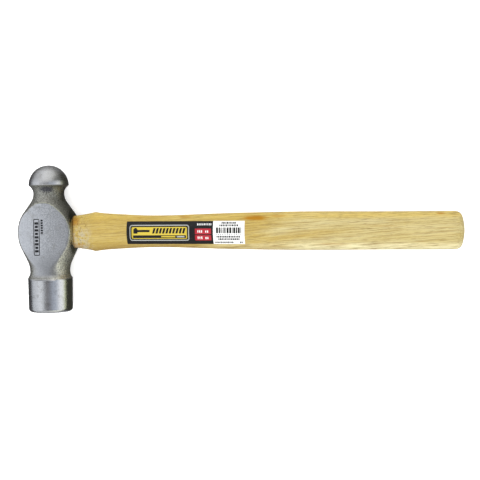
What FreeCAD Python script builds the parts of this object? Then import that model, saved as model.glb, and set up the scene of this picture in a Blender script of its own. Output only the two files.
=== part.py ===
"""Ball peen hammer, lying on its side.

A forged steel head with a ball at one end and a round poll at the other is held on an oval
wooden handle. The handle's tenon fills the head's waisted eye, where a wooden wedge in a saw
kerf and two thin steel wedges spread it. A printed sticker runs along the handle's neck.

Every piece is drawn about the centre of the eye: +X runs along the handle to its butt, +Y along
the head to the ball and +Z out of a cheek. All the pieces are then placed together, so that the
origin is on the surface below the middle of the hammer. Millimetres throughout.
"""

import FreeCAD, Part
import Sketcher
import math
import os

doc = FreeCAD.newDocument("BallPeenHammer")
V = FreeCAD.Vector

# ---------------------------------------------------------------- driving dimensions

DIMENSIONS = [
    # head: radii of the turned outline, and distances along the head from the middle of the eye
    ("ball_radius", 12.2),
    ("ball_height", 28.7),
    ("neck_radius", 9.3),
    ("neck_height", 23.6),
    ("flare_cove", 9.6),
    ("bulge_radius", 19.15),
    ("bulge_height", 0.2),
    ("bulge_round_above", 20.0),
    ("bulge_round_below", 27.0),
    ("waist_radius", 12.05),
    ("waist_depth", 24.4),
    ("waist_cove", 15.5),
    ("poll_radius", 13.65),
    ("poll_depth", 28.5),
    ("rim_radius", 13.45),
    ("face_depth", 49.2),
    ("rim_round", 2.0),
    # head: cheeks and eye
    ("cheek_reach", 10.63),
    ("cheek_top", 17.7),
    ("cheek_end_depth", 25.8),
    ("cheek_runout", 3.4),
    ("cheek_edge_round", 0.5),
    ("eye_mouth_length", 20.3),
    ("eye_mouth_width", 13.7),
    ("eye_waist_length", 18.2),
    ("eye_waist_width", 11.8),
    ("eye_reach", 19.6),
    # tenon, kerf and wedges
    ("kerf_width", 1.3),
    ("kerf_depth", 27.0),
    ("tenon_sink", 0.35),
    ("wood_wedge_depth", 22.0),
    ("wood_wedge_head", 3.4),
    ("steel_wedge_depth", 14.0),
    ("steel_wedge_head", 2.2),
    ("steel_wedge_tip", 0.5),
    ("steel_wedge_width", 9.6),
    ("steel_wedge_spread", 4.8),
    # butt of the handle
    ("butt_end", 250.5),
    ("butt_dome", 28.0),
    ("butt_round", 4.4),
    # sticker
    ("label_start", 51.6),
    ("label_length", 72.3),
    ("label_height", 13.6),
    ("label_drop", 0.6),
    ("label_thickness", 0.15),
]

# Oval sections of the handle: name, place along it, full height (Y), full thickness (Z).
SHOULDER_SECTIONS = [
    ("root", 19.6, 20.3, 13.7),
    ("flare", 26.0, 22.3, 14.7),
    ("ridge", 29.7, 23.85, 15.4),
]
GRIP_SECTIONS = [
    ("ridge_back", 30.5, 23.85, 15.4),
    ("step", 33.8, 22.9, 15.2),
    ("throat", 44.0, 21.3, 14.7),
    ("slim", 64.0, 19.4, 14.0),
    ("slim_end", 86.0, 19.85, 14.3),
    ("swell", 109.0, 21.3, 15.5),
    ("grip", 133.0, 22.2, 16.6),
    ("palm", 166.0, 22.8, 17.3),
    ("heel", 200.0, 22.3, 17.2),
    ("tail", 228.0, 22.2, 17.0),
    ("butt", 252.0, 22.1, 16.9),
]

sheet = doc.addObject("Spreadsheet::Sheet", "Sizes")


def fill_sheet():
    """Gives every driving dimension a cell of its own, with its name as the cell's alias."""
    rows = list(DIMENSIONS)
    for name, place, height, thickness in SHOULDER_SECTIONS + GRIP_SECTIONS:
        rows.append((name + "_place", place))
        rows.append((name + "_height", height))
        rows.append((name + "_thickness", thickness))
    for number, (alias, value) in enumerate(rows, 1):
        sheet.set("A%d" % number, alias)
        sheet.set("B%d" % number, str(value))
        sheet.setAlias("B%d" % number, alias)
    doc.recompute()


def size(alias):
    """The value of one cell, for a sketch's first guess at its own points."""
    return float(getattr(sheet, alias))


def from_sheet(expression):
    """The same expression, with each word in it made to mean the cell of that alias."""
    words = expression.split()
    return " ".join("Sizes." + word if word[0].isalpha() else word for word in words)


def bind(item, prop, expression):
    item.setExpression(prop, from_sheet(expression))


# ---------------------------------------------------------------- sketches and features

ORIGIN, UPRIGHT_AXIS = -1, -2  # a sketch's own origin and its vertical axis, in constraints
START, END, CENTRE = 1, 2, 3  # the named points of a line or an arc, in constraints


def origin_part(body, role):
    """One of the planes and axes of a body's own origin."""
    return next(item for item in body.Origin.OriginFeatures if item.Role == role)


def sketch_on(body, name, role, offset=None):
    """An empty sketch on one of the body's own origin planes, or offset from it."""
    sketch = body.newObject("Sketcher::SketchObject", name)
    sketch.AttachmentSupport = (origin_part(body, role), [""])
    sketch.MapMode = "FlatFace"
    if offset:
        bind(sketch, ".AttachmentOffset.Base.z", offset)
    return sketch


def constrain(sketch, kind, *parts):
    sketch.addConstraint(Sketcher.Constraint(kind, *parts))


def dimension(sketch, kind, parts, value):
    """A constraint whose size is an expression over the sheet."""
    guess = sketch.evalExpression(from_sheet(value))
    index = sketch.addConstraint(Sketcher.Constraint(kind, *parts, float(guess)))
    sketch.setExpression("Constraints[%d]" % index, from_sheet(value))


def place(sketch, geometry, point, x, y):
    """Sets a point's place from the sketch's origin."""
    for kind, value in (("DistanceX", x), ("DistanceY", y)):
        dimension(sketch, kind, (ORIGIN, START, geometry, point), value)


def line(a, b):
    return Part.LineSegment(V(*a, 0), V(*b, 0))


def arc(centre, start, end):
    """An anticlockwise arc about a centre."""
    angles = [math.atan2(y - centre[1], x - centre[0]) for x, y in (start, end)]
    if angles[1] <= angles[0]:
        angles[1] += 2 * math.pi
    circle = Part.Circle(V(*centre, 0), V(0, 0, 1), math.dist(centre, start))
    return Part.ArcOfCircle(circle, *angles)


def polygon(sketch, corners):
    """A closed outline of straight lines through corners given as pairs of expressions."""
    points = [[float(sketch.evalExpression(from_sheet(value))) for value in pair] for pair in corners]
    first = sketch.GeometryCount
    count = len(points)
    for index in range(count):
        sketch.addGeometry(line(points[index], points[(index + 1) % count]))
    for index in range(count):
        constrain(sketch, "Coincident", first + index, END, first + (index + 1) % count, START)
    for index, (x, y) in enumerate(corners):
        place(sketch, first + index, START, x, y)


def pocket(body, sketch, name, depth=None):
    """Cuts a sketch's outline out of the body: right through, or to a depth about its plane."""
    cut = body.newObject("PartDesign::Pocket", name)
    cut.Profile = sketch
    cut.Midplane = True
    if depth:
        bind(cut, "Length", depth)
    else:
        cut.Type = "ThroughAll"
    return cut


def loft(body, kind, name, sections, ruled=False):
    feature = body.newObject("PartDesign::" + kind, name)
    feature.Profile = (sections[0], [""])
    feature.Sections = [(section, [""]) for section in sections[1:]]
    feature.Ruled = ruled
    return feature


def round_edges(body, name, radius, chosen):
    """Rounds those edges of the body's last feature that pass a test."""
    doc.recompute()
    base = body.Tip
    edges = ["Edge%d" % i for i, edge in enumerate(base.Shape.Edges, 1) if chosen(edge)]
    feature = body.newObject("PartDesign::Fillet", name)
    feature.Base = (base, edges)
    bind(feature, "Radius", radius)
    return feature


def new_body(label):
    body = doc.addObject("PartDesign::Body", label)
    body.Label = label
    return body


# ---------------------------------------------------------------- shapes that pieces share


def oval(body, name, offset, height, thickness):
    """An ellipse across the handle: its height along Y and its thickness along Z."""
    sketch = sketch_on(body, name, "YZ_Plane", offset)
    high = float(sketch.evalExpression(from_sheet(height))) / 2
    thick = float(sketch.evalExpression(from_sheet(thickness))) / 2
    sketch.addGeometry(Part.Ellipse(V(high, 0, 0), V(0, thick, 0), V(0, 0, 0)))
    sketch.exposeInternalGeometry(0)
    constrain(sketch, "Coincident", 0, CENTRE, ORIGIN, START)
    constrain(sketch, "Horizontal", 1)
    dimension(sketch, "Distance", (1,), height)
    dimension(sketch, "Distance", (2,), thickness)
    return sketch


def eye_sections(body):
    """The waisted eye's three ovals: both mouths and the narrower middle."""
    mouth = ("eye_mouth_length", "eye_mouth_width")
    waist = ("eye_waist_length", "eye_waist_width")
    return [
        oval(body, "EyeFarMouth", "- eye_reach", *mouth),
        oval(body, "EyeMiddle", None, *waist),
        oval(body, "EyeNearMouth", "eye_reach", *mouth),
    ]


def handle_sections(body, sections, prefix, extra="0"):
    """Ovals of the handle, each made larger all round by an extra."""
    grown = []
    for name, *_ in sections:
        height = "%s_height + 2 * %s" % (name, extra)
        thickness = "%s_thickness + 2 * %s" % (name, extra)
        grown.append(oval(body, prefix + name.title().replace("_", ""), name + "_place", height, thickness))
    return grown


def tangent_points(hollow, hollow_radius, bulge, bulge_radius):
    """Where the straight line that crosses from a hollow arc to a bulging arc touches them."""
    across, along = hollow[0] - bulge[0], hollow[1] - bulge[1]
    lean = math.acos((hollow_radius + bulge_radius) / math.hypot(across, along))
    turn = math.atan2(along, across) - math.copysign(lean, along)
    unit = math.cos(turn), math.sin(turn)
    on_hollow = hollow[0] - hollow_radius * unit[0], hollow[1] - hollow_radius * unit[1]
    on_bulge = bulge[0] + bulge_radius * unit[0], bulge[1] + bulge_radius * unit[1]
    return on_hollow, on_bulge


def head_outline(body):
    """Half of the head's turned outline, from the ball's top round to the middle of the face."""
    sketch = sketch_on(body, "Outline", "XY_Plane")
    top = (0, size("ball_height") + size("ball_radius"))
    ball_edge = (size("ball_radius"), size("ball_height"))
    neck = (size("neck_radius"), size("neck_height"))
    bulge = (size("bulge_radius"), size("bulge_height"))
    waist = (size("waist_radius"), -size("waist_depth"))
    shoulder = (size("poll_radius"), -size("poll_depth"))
    rim = (size("rim_radius"), -size("face_depth"))
    face = (0, -size("face_depth"))

    def beside(point, radius):
        return point[0] + radius, point[1]

    def cove_centre(low, high):
        """Centre, level with the low point, of the arc through a low and a higher point."""
        rise, run = high[0] - low[0], high[1] - low[1]
        return beside(low, (rise * rise + run * run) / (2 * rise))

    flare_centre = beside(neck, size("flare_cove"))
    above_centre = beside(bulge, -size("bulge_round_above"))
    below_centre = beside(bulge, -size("bulge_round_below"))
    waist_centre = beside(waist, size("waist_cove"))
    flare_end, bulge_top = tangent_points(
        flare_centre, size("flare_cove"), above_centre, size("bulge_round_above")
    )
    waist_start, bulge_foot = tangent_points(
        waist_centre, size("waist_cove"), below_centre, size("bulge_round_below")
    )
    pieces = [
        arc((0, size("ball_height")), ball_edge, top),
        arc(cove_centre(neck, ball_edge), ball_edge, neck),
        arc(flare_centre, neck, flare_end),
        line(flare_end, bulge_top),
        arc(above_centre, bulge, bulge_top),
        arc(below_centre, bulge_foot, bulge),
        line(bulge_foot, waist_start),
        arc(waist_centre, waist_start, waist),
        arc(cove_centre(waist, shoulder), waist, shoulder),
        line(shoulder, rim),
        line(rim, face),
        line(face, top),
    ]
    ball, cove, flare, slope, above, below, run_in, hollow, step, side, flat, middle = (
        sketch.addGeometry(piece) for piece in pieces
    )
    for first, first_end, second, second_end in (
        (ball, START, cove, START),
        (step, END, side, START),
        (side, END, flat, START),
        (flat, END, middle, START),
        (middle, END, ball, END),
    ):
        constrain(sketch, "Coincident", first, first_end, second, second_end)
    for first, first_end, second, second_end in (
        (cove, END, flare, START),
        (flare, END, slope, START),
        (slope, END, above, END),
        (above, START, below, END),
        (below, START, run_in, START),
        (run_in, END, hollow, START),
        (hollow, END, step, START),
    ):
        constrain(sketch, "Tangent", first, first_end, second, second_end)
    place(sketch, ball, CENTRE, "0", "ball_height")
    place(sketch, ball, START, "ball_radius", "ball_height")
    place(sketch, cove, END, "neck_radius", "neck_height")
    place(sketch, flare, CENTRE, "neck_radius + flare_cove", "neck_height")
    place(sketch, above, START, "bulge_radius", "bulge_height")
    place(sketch, above, CENTRE, "bulge_radius - bulge_round_above", "bulge_height")
    dimension(sketch, "Radius", (below,), "bulge_round_below")
    place(sketch, hollow, END, "waist_radius", "- waist_depth")
    place(sketch, hollow, CENTRE, "waist_radius + waist_cove", "- waist_depth")
    place(sketch, side, START, "poll_radius", "- poll_depth")
    place(sketch, flat, START, "rim_radius", "- face_depth")
    constrain(sketch, "Horizontal", flat)
    constrain(sketch, "PointOnObject", flat, END, UPRIGHT_AXIS)
    constrain(sketch, "PointOnObject", middle, END, UPRIGHT_AXIS)
    return sketch


def cheek_outline(body):
    """The two slabs cut away beside the cheeks, each running out in an arc at the poll."""
    sketch = sketch_on(body, "Cheeks", "YZ_Plane")
    clear = size("bulge_radius") + 1
    end, runout = -size("cheek_end_depth"), size("cheek_runout")
    for side in (1, -1):
        reach = side * size("cheek_reach")
        centre = (end, reach + side * runout)
        flat_end, out_end = (end, reach), (end - runout, centre[1])
        top = size("cheek_top")
        corners = [flat_end, (top, reach), (top, side * clear), (out_end[0], side * clear), out_end]
        ends = (out_end, flat_end) if side > 0 else (flat_end, out_end)
        sweep = sketch.addGeometry(arc(centre, *ends))
        run, edge, outer, back = (sketch.addGeometry(line(a, b)) for a, b in zip(corners, corners[1:]))
        at_flat, at_out = (END, START) if side > 0 else (START, END)
        constrain(sketch, "Tangent", sweep, at_flat, run, START)
        for first, second in ((run, edge), (edge, outer), (outer, back)):
            constrain(sketch, "Coincident", first, END, second, START)
        constrain(sketch, "Tangent", back, END, sweep, at_out)
        sign = "" if side > 0 else "- "
        place(sketch, run, START, "- cheek_end_depth", sign + "cheek_reach")
        place(sketch, edge, START, "cheek_top", sign + "cheek_reach")
        dimension(sketch, "DistanceY", (ORIGIN, START, edge, END), sign + "( bulge_radius + 1 )")
        constrain(sketch, "Vertical", edge)
        constrain(sketch, "Horizontal", outer)
        constrain(sketch, "Vertical", back)
        dimension(sketch, "Radius", (sweep,), "cheek_runout")
    return sketch


def build_head():
    """The forged head: a turned outline, flat cheeks, the waisted eye and its rounded edges."""
    body = new_body("head")
    turned = body.newObject("PartDesign::Revolution", "Turned")
    turned.Profile = head_outline(body)
    turned.ReferenceAxis = (origin_part(body, "Y_Axis"), [""])
    turned.Angle = 360
    round_edges(body, "Rim", "rim_round", lambda edge: edge.BoundBox.YMax < -size("face_depth") + 0.01)
    pocket(body, cheek_outline(body), "CheekFlats")
    loft(body, "SubtractiveLoft", "Eye", eye_sections(body))
    reach = size("cheek_reach")

    def borders_cheek(edge):
        box = edge.BoundBox
        return box.ZLength < 0.01 and abs(abs(box.ZMin) - reach) < 0.01 and box.YLength > 5

    round_edges(body, "CheekEdges", "cheek_edge_round", borders_cheek)
    return body


def dress_tenon_end(body):
    """Trims the far end of a piece in the eye, to follow the head's round side a little below it."""
    sketch = sketch_on(body, "FlushEnd", "XY_Plane")
    height = size("eye_mouth_length") / 2 + 2
    radius, drop = size("bulge_round_above"), size("bulge_height")
    middle = (radius - size("bulge_radius") + size("tenon_sink"), drop)
    depth = middle[0] - math.sqrt(radius**2 - (height - drop) ** 2)
    foot = middle[0] - math.sqrt(radius**2 - (height + drop) ** 2)
    outer = -size("eye_reach") - 3
    corners = [(depth, height), (outer, height), (outer, -height), (foot, -height)]
    curve = sketch.addGeometry(arc(middle, corners[0], corners[3]))
    top, back, bottom = (sketch.addGeometry(line(a, b)) for a, b in zip(corners, corners[1:]))
    constrain(sketch, "Coincident", curve, START, top, START)
    constrain(sketch, "Coincident", top, END, back, START)
    constrain(sketch, "Coincident", back, END, bottom, START)
    constrain(sketch, "Coincident", bottom, END, curve, END)
    constrain(sketch, "Horizontal", top)
    constrain(sketch, "Horizontal", bottom)
    place(sketch, curve, CENTRE, "bulge_round_above - bulge_radius + tenon_sink", "bulge_height")
    dimension(sketch, "Radius", (curve,), "bulge_round_above")
    place(sketch, back, START, "- eye_reach - 3", "eye_mouth_length / 2 + 2")
    place(sketch, back, END, "- eye_reach - 3", "- eye_mouth_length / 2 - 2")
    flush = body.newObject("PartDesign::Groove", "Flush")
    flush.Profile = sketch
    flush.ReferenceAxis = (origin_part(body, "Y_Axis"), [""])
    flush.Angle = 120
    flush.Midplane = True


WOOD_WEDGE_SIDE = [
    ("- eye_reach - 1", "wood_wedge_head / 2"),
    ("- eye_reach + wood_wedge_depth", "kerf_width / 2"),
]


def steel_wedge_outline(body, side):
    """A steel wedge seen along the cheek's normal: its head outside, its tip in the tenon."""
    sketch = sketch_on(body, "SteelWedge" + ("Upper" if side > 0 else "Lower"), "XY_Plane")
    where = ("" if side > 0 else "- ") + "steel_wedge_spread"
    back, tip = "- eye_reach - 1", "- eye_reach + steel_wedge_depth"
    polygon(
        sketch,
        [
            (back, where + " + steel_wedge_head / 2"),
            (back, where + " - steel_wedge_head / 2"),
            (tip, where + " - steel_wedge_tip / 2"),
            (tip, where + " + steel_wedge_tip / 2"),
        ],
    )
    return sketch


def build_handle():
    """The wooden handle: wedged tenon, shoulder, waisted neck, swelling grip and domed butt."""
    body = new_body("handle")
    loft(body, "AdditiveLoft", "Tenon", eye_sections(body))
    shoulder = handle_sections(body, SHOULDER_SECTIONS, "Shoulder")
    loft(body, "AdditiveLoft", "ShoulderSlope", shoulder)
    grip = handle_sections(body, GRIP_SECTIONS, "Grip")
    loft(body, "AdditiveLoft", "Ridge", [shoulder[-1], grip[0]], ruled=True)
    loft(body, "AdditiveLoft", "Grip", grip)

    kerf = sketch_on(body, "Kerf", "XZ_Plane")
    (back, head), (tip, narrow) = WOOD_WEDGE_SIDE
    floor = "- eye_reach + kerf_depth"
    upper = [(back, head), (tip, narrow), (floor, narrow)]
    polygon(kerf, upper + [(along, "- " + off) for along, off in reversed(upper)])
    pocket(body, kerf, "SawKerf")
    for side in (1, -1):
        name = "WedgeSlot" + ("Upper" if side > 0 else "Lower")
        pocket(body, steel_wedge_outline(body, side), name, "steel_wedge_width")
    dress_tenon_end(body)

    end = sketch_on(body, "ButtEnd", "XY_Plane")
    clear, radius = size("butt_height") / 2 + 1, size("butt_dome")
    middle, outer = (size("butt_end") - radius, 0), size("butt_end") + 3
    low = (middle[0] + math.sqrt(radius**2 - clear**2), clear)
    dome = end.addGeometry(arc(middle, (size("butt_end"), 0), low))
    top = end.addGeometry(line(low, (outer, clear)))
    back = end.addGeometry(line((outer, clear), (outer, 0)))
    base = end.addGeometry(line((outer, 0), (size("butt_end"), 0)))
    for first, second in ((dome, top), (top, back), (back, base), (base, dome)):
        constrain(end, "Coincident", first, END, second, START)
    constrain(end, "Horizontal", top)
    place(end, dome, CENTRE, "butt_end - butt_dome", "0")
    place(end, dome, START, "butt_end", "0")
    place(end, back, START, "butt_end + 3", "butt_height / 2 + 1")
    place(end, back, END, "butt_end + 3", "0")
    groove = body.newObject("PartDesign::Groove", "ButtDome")
    groove.Profile = end
    groove.ReferenceAxis = (origin_part(body, "X_Axis"), [""])
    groove.Angle = 360
    round_edges(
        body,
        "ButtRound",
        "butt_round",
        lambda edge: edge.BoundBox.XMin > size("butt_end") - 6 and edge.BoundBox.YLength > 15,
    )
    return body


def build_wood_wedge():
    """The wooden wedge, as wide as the eye: the eye's shape less all that is beside the wedge."""
    body = new_body("wood_wedge")
    loft(body, "AdditiveLoft", "EyeShape", eye_sections(body))
    dress_tenon_end(body)
    (back, head), (tip, narrow) = WOOD_WEDGE_SIDE
    outer, past = "eye_mouth_width", "eye_reach + 1"
    for side in ("", "- "):
        beside = sketch_on(body, "Beside" + ("Upper" if side == "" else "Lower"), "XZ_Plane")
        corners = [(back, side + head), (tip, side + narrow), (tip, "0"), (past, "0")]
        polygon(beside, corners + [(past, side + outer), (back, side + outer)])
        pocket(body, beside, "Trim" + ("Upper" if side == "" else "Lower"))
    for side in (1, -1):
        name = "WedgeSlot" + ("Upper" if side > 0 else "Lower")
        pocket(body, steel_wedge_outline(body, side), name, "steel_wedge_width")
    return body


def build_steel_wedge(label, side):
    """A thin steel wedge, driven in across the wooden one."""
    body = new_body(label)
    blank = body.newObject("PartDesign::Pad", "Blank")
    blank.Profile = steel_wedge_outline(body, side)
    blank.Midplane = True
    bind(blank, "Length", "steel_wedge_width")
    dress_tenon_end(body)
    return body


def build_label():
    """The sticker: a thin skin over the upper side of the handle's neck."""
    body = new_body("label")
    outside = handle_sections(body, GRIP_SECTIONS, "Outside", "label_thickness")
    loft(body, "AdditiveLoft", "Skin", outside)
    inside = handle_sections(body, GRIP_SECTIONS, "Inside")
    loft(body, "SubtractiveLoft", "Core", inside)

    below = sketch_on(body, "LowerHalf", "XZ_Plane")
    last = "butt_place + 1"
    polygon(below, [("0", "0"), (last, "0"), (last, "- butt_thickness"), ("0", "- butt_thickness")])
    pocket(body, below, "UpperHalfOnly")

    trim = sketch_on(body, "LabelOutline", "XY_Plane")
    reach = "butt_height"
    polygon(trim, [("0", reach), (last, reach), (last, "- " + reach), ("0", "- " + reach)])
    start, finish = "label_start", "label_start + label_length"
    top, bottom = "label_height / 2 - label_drop", "- label_height / 2 - label_drop"
    polygon(trim, [(start, top), (finish, top), (finish, bottom), (start, bottom)])
    pocket(body, trim, "Trimmed")
    return body


# ---------------------------------------------------------------- the whole hammer


def place_in_frame(piece):
    """Moves a piece so that the origin is on the ground below the middle of the hammer's box."""
    bind(piece, ".Placement.Base.x", "( bulge_radius - tenon_sink - butt_end ) / 2")
    bind(piece, ".Placement.Base.y", "( face_depth - ball_height - ball_radius ) / 2")
    bind(piece, ".Placement.Base.z", "poll_radius")


def check(pieces):
    """Stops if anything failed to recompute, or if a piece isn't one valid solid."""
    for item in doc.Objects:
        if "Invalid" in item.State or "Error" in item.State:
            raise RuntimeError("%s did not recompute: %s" % (item.Name, item.State))
    for piece in pieces:
        shape = piece.Shape
        if shape.isNull() or not shape.isValid() or len(shape.Solids) != 1 or shape.Volume <= 0:
            raise RuntimeError("%s is not one valid solid" % piece.Label)


fill_sheet()
pieces = [
    build_head(),
    build_handle(),
    build_wood_wedge(),
    build_steel_wedge("steel_wedge_ball_side", 1),
    build_steel_wedge("steel_wedge_poll_side", -1),
    build_label(),
]
for piece in pieces:
    place_in_frame(piece)
doc.recompute()
check(pieces)
os.makedirs("parts", exist_ok=True)
for piece in pieces:
    piece.Shape.exportStep("parts/%s.step" % piece.Label)
    box = piece.Shape.optimalBoundingBox(True)
    print("%-24s %9.1f mm3  %s" % (piece.Label, piece.Shape.Volume, box))
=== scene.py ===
import math
import random

import bmesh
import bpy
import numpy as np
from mathutils import Matrix, Vector, noise


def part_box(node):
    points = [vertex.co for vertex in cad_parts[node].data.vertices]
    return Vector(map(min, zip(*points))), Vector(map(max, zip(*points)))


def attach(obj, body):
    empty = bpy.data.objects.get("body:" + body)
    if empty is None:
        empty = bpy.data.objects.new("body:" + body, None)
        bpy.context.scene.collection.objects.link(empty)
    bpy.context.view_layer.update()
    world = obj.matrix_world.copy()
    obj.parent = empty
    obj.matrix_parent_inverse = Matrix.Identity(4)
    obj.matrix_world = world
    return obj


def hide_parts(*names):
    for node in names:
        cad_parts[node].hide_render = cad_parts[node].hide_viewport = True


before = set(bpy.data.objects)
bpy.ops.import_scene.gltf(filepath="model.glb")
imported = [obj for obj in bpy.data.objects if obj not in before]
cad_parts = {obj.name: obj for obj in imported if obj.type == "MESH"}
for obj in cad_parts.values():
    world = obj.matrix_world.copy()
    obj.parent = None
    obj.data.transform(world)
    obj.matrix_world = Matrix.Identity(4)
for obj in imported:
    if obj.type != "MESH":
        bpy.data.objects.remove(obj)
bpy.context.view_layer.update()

# Shapes are worked out in millimetres about the centre of the head's eye, with the frame's own
# axes: +X along the handle, +Y along the head to the ball, +Z out of the upper cheek.
MM = 0.001

# -------- sizes, millimetres

BALL_RADIUS, BALL_HEIGHT = 12.2, 28.7
NECK_RADIUS, NECK_HEIGHT, FLARE_COVE = 9.3, 23.6, 9.6
BULGE_RADIUS, BULGE_HEIGHT = 19.15, 0.2
BULGE_ROUND_ABOVE, BULGE_ROUND_BELOW = 20.0, 27.0
WAIST_RADIUS, WAIST_DEPTH, WAIST_COVE = 12.05, 24.4, 15.5
POLL_RADIUS, POLL_DEPTH = 13.65, 28.5
RIM_RADIUS, FACE_DEPTH, RIM_ROUND = 13.45, 49.2, 2.0
CHEEK_REACH, CHEEK_END_DEPTH, CHEEK_RUNOUT, CHEEK_TOP = 10.63, 25.8, 3.4, 17.7
EYE_MOUTH, EYE_WAIST, EYE_REACH = (20.3, 13.7), (18.2, 11.8), 19.6

# Oval sections of the handle: place along it, full height (Y), full thickness (Z)
SHOULDER = [(19.6, 20.3, 13.7), (26.0, 22.3, 14.7), (29.7, 23.85, 15.4)]
GRIP = [
    (30.5, 23.85, 15.4), (33.8, 22.9, 15.2), (44.0, 21.3, 14.7), (64.0, 19.4, 14.0),
    (86.0, 19.85, 14.3), (109.0, 21.3, 15.5), (133.0, 22.2, 16.6), (166.0, 22.8, 17.3),
    (200.0, 22.3, 17.2), (228.0, 22.2, 17.0), (252.0, 22.1, 16.9),
]
BUTT_START, BUTT_END, BUTT_DOME, BUTT_ROUND = 244.0, 250.5, 28.0, 4.4

LABEL_START, LABEL_LENGTH, LABEL_HEIGHT, LABEL_DROP = 51.6, 72.3, 13.6, 0.6
TENON_TAPER_END = -17.5  # from here to its end the tenon keeps its size
TENON_SINK = 0.35  # how far the tenon's end lies below the head's round side

head_low, head_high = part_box("head")
EYE = Vector((
    (head_low.x + head_high.x) / 2,
    head_high.y - (BALL_HEIGHT + BALL_RADIUS) * MM,
    (head_low.z + head_high.z) / 2,
))


def to_frame(points):
    """Millimetres about the eye to metres in the frame."""
    return np.asarray(points, float) * MM + np.array(EYE)


# -------- mesh helpers


def add_object(name, data):
    item = bpy.data.objects.new(name, data)
    bpy.context.scene.collection.objects.link(item)
    return item


def new_piece(name, points, faces, materials=(), slot=None, replaces=()):
    """A mesh object from points in millimetres about the eye; with a slot, it rides on the hammer."""
    mesh = bpy.data.meshes.new(name)
    mesh.from_pydata([tuple(p) for p in to_frame(points)], [], faces)
    mesh.validate()
    piece = add_object(name, mesh)
    for material in materials:
        mesh.materials.append(material)
    mesh.polygons.foreach_set("use_smooth", [True] * len(mesh.polygons))
    if slot:
        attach(piece, "root")
        for node in replaces:
            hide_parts(node)
    return piece


def ring_faces(count, columns):
    """Quads between rings of points laid end to end, and a fan to a pole at each end."""
    pairs = [(i, (i + 1) % columns) for i in range(columns)]
    faces = []
    for low in range(0, (count - 1) * columns, columns):
        high = low + columns
        faces += [(low + i, low + j, high + j, high + i) for i, j in pairs]
    end, pole = (count - 1) * columns, count * columns
    faces += [(pole, j, i) for i, j in pairs]
    return faces + [(pole + 1, end + i, end + j) for i, j in pairs]


def smooth_min(a, b, width):
    """The smaller of two values, with the corner between them rounded over a width."""
    blend = np.clip(0.5 + 0.5 * (b - a) / width, 0, 1)
    return b + (a - b) * blend - width * blend * (1 - blend)


def cut(piece, points, faces):
    """Takes a closed solid out of the piece for good."""
    cutter = new_piece("cutter", points, faces)
    modifier = piece.modifiers.new("cut", "BOOLEAN")
    modifier.operation = "DIFFERENCE"
    modifier.solver = "EXACT"
    modifier.object = cutter
    bpy.context.view_layer.update()
    result = bpy.data.meshes.new_from_object(piece.evaluated_get(bpy.context.evaluated_depsgraph_get()))
    piece.modifiers.clear()
    old = piece.data
    piece.data = result
    result.name = old.name
    bpy.data.objects.remove(cutter)


def sharpen(piece, degrees):
    """Keeps edges crisp where the surface turns by more than an angle."""
    mesh = piece.data
    mesh.polygons.foreach_set("use_smooth", [True] * len(mesh.polygons))
    mesh.set_sharp_from_angle(angle=math.radians(degrees))


def coordinates(piece):
    """A piece's points, in millimetres about the eye."""
    flat = np.zeros(len(piece.data.vertices) * 3, np.float32)
    piece.data.vertices.foreach_get("co", flat)
    return (flat.reshape(-1, 3).astype(float) - np.array(EYE)) / MM


def mask(piece, name, values):
    """Stores a value for every point, which the piece's material reads by name."""
    layer = piece.data.attributes.new(name, "FLOAT", "POINT")
    layer.data.foreach_set("value", np.asarray(values, np.float32))


def roughness_of(points, scale, seed, octaves=3):
    """Smooth random values between about -1 and 1, one for each point."""
    shift = Vector((seed * 17.3, seed * 5.1, seed * 9.7))
    return np.array([noise.fractal(Vector(p) * scale + shift, 1.0, 2.0, octaves) for p in points])


# -------- camera

VIEW_TURN, VIEW_RAISE, VIEW_ROLL = 10.58, 2.66, 0.63  # degrees off the cheek's normal
VIEW_AIM = (119.7, -5.39, 0.0)
VIEW_DISTANCE = 596.6
FOCAL_LENGTH = 75.0


def place_camera():
    turn = (
        Matrix.Rotation(math.radians(VIEW_TURN), 4, "Y")
        @ Matrix.Rotation(math.radians(-VIEW_RAISE), 4, "X")
        @ Matrix.Rotation(math.radians(-VIEW_ROLL), 4, "Z")
    )
    data = bpy.data.cameras.new("camera")
    data.lens = FOCAL_LENGTH
    data.sensor_width = 36.0
    data.clip_start, data.clip_end = 0.01, 20.0
    camera = add_object("camera", data)
    aim = Vector(to_frame([VIEW_AIM])[0])
    camera.matrix_world = Matrix.Translation(aim) @ turn @ Matrix.Translation((0, 0, VIEW_DISTANCE * MM))
    bpy.context.scene.camera = camera


# -------- node helpers


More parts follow.
